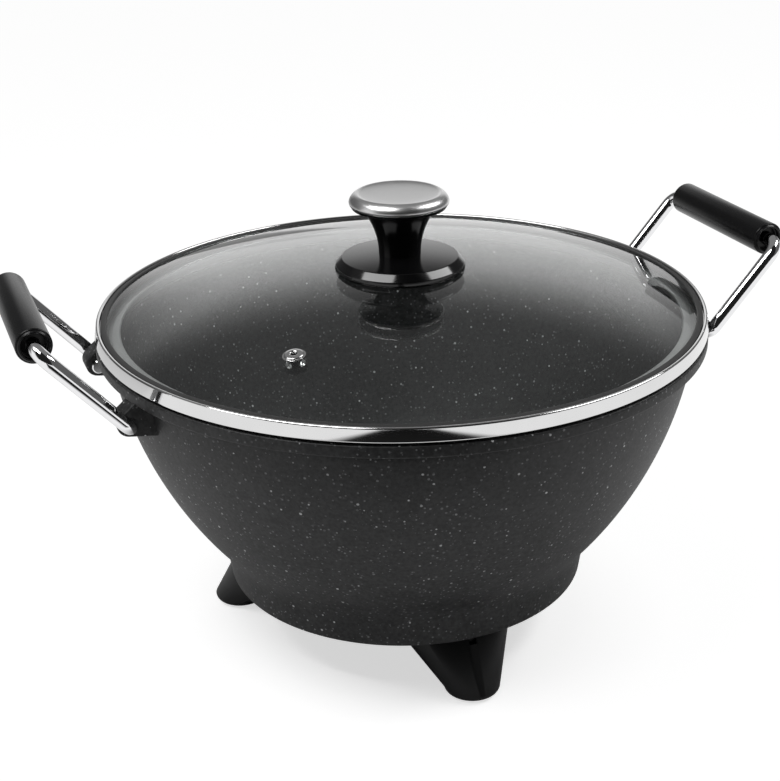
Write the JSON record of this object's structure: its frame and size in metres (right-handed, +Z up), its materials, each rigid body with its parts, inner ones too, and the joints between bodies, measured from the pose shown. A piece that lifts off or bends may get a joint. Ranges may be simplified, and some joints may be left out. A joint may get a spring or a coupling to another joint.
{
  "type": "electric wok",
  "caption": "Electric wok: deep cast bowl with foot ring on splayed legs, steel-rimmed glass lid with a waisted knob, and wire bail handles with round grips.",
  "frame": {"origin": "on the table surface, under the middle of the bowl", "axes": "+Z up along the bowl's axis, +X through the right handle, +Y to the back, where the appliance inlet is"},
  "size_m": [0.4492, 0.352, 0.2656],
  "materials": {
    "coating": "die-cast aluminium with a charcoal speckled non-stick coating, matt",
    "steel_sheath": "heat-tinted heater sheath",
    "plated_pins": "nickel plated",
    "ceramic": "unglazed steatite",
    "probe_steel": "drawn tube",
    "housing_plastic": "heat-resistant moulded plastic",
    "screws": "zinc plated",
    "spring_brass": "spring strip",
    "cover_paint": "black stove enamel",
    "leg_plastic": "satin moulded phenolic",
    "pad_rubber": "matt",
    "chrome_rod": "bright chrome on steel rod",
    "grip_plastic": "satin",
    "lid_glass": "clear tempered",
    "seal_silicone": "black silicone",
    "rim_steel": "polished stainless",
    "vent_steel": "polished stainless",
    "knob_plastic": "high gloss phenolic",
    "cap_steel": "polished edge, brushed dish",
    "insert_brass": "turned",
    "gasket_silicone": "grey silicone"
  },
  "bodies": {
    "wok": {"wok_bowl": "coating", "heating_element": "steel_sheath", "terminal_pins": "plated_pins", "terminal_bushes": "ceramic", "probe_tube": "probe_steel", "inlet_housing": "housing_plastic", "inlet_screws": "screws", "earth_clip": "spring_brass", "base_cover": "cover_paint", "front_leg": "leg_plastic", "rear_right_leg": "leg_plastic", "rear_left_leg": "leg_plastic", "leg_screws": "screws", "leg_pads": "pad_rubber"},
    "lid": {"lid_glass": "lid_glass", "lid_seal": "seal_silicone", "lid_rim": "rim_steel", "vent_eyelet": "vent_steel", "knob_skirt": "knob_plastic", "knob_stem": "knob_plastic", "knob_cap": "cap_steel", "knob_insert": "insert_brass", "knob_screw": "screws", "knob_washer": "screws", "knob_gasket": "gasket_silicone"},
    "left_handle": {"left_handle_rod": "chrome_rod", "left_handle_grip": "grip_plastic"},
    "right_handle": {"right_handle_rod": "chrome_rod", "right_handle_grip": "grip_plastic"}
  },
  "joints": [
    {"name": "lid_lift", "type": "slide", "parent": "wok", "child": "lid", "axis": [0, 0, 1], "range_m": [0, 0.15]},
    {"name": "left_handle_fold", "type": "hinge", "parent": "wok", "child": "left_handle", "pos_m": [-0.1714, 0, 0.174], "axis": [0, -1, 0], "range_deg": [-41, 150]},
    {"name": "right_handle_fold", "type": "hinge", "parent": "wok", "child": "right_handle", "pos_m": [0.1714, 0, 0.174], "axis": [0, 1, 0], "range_deg": [-41, 150]}
  ]
}
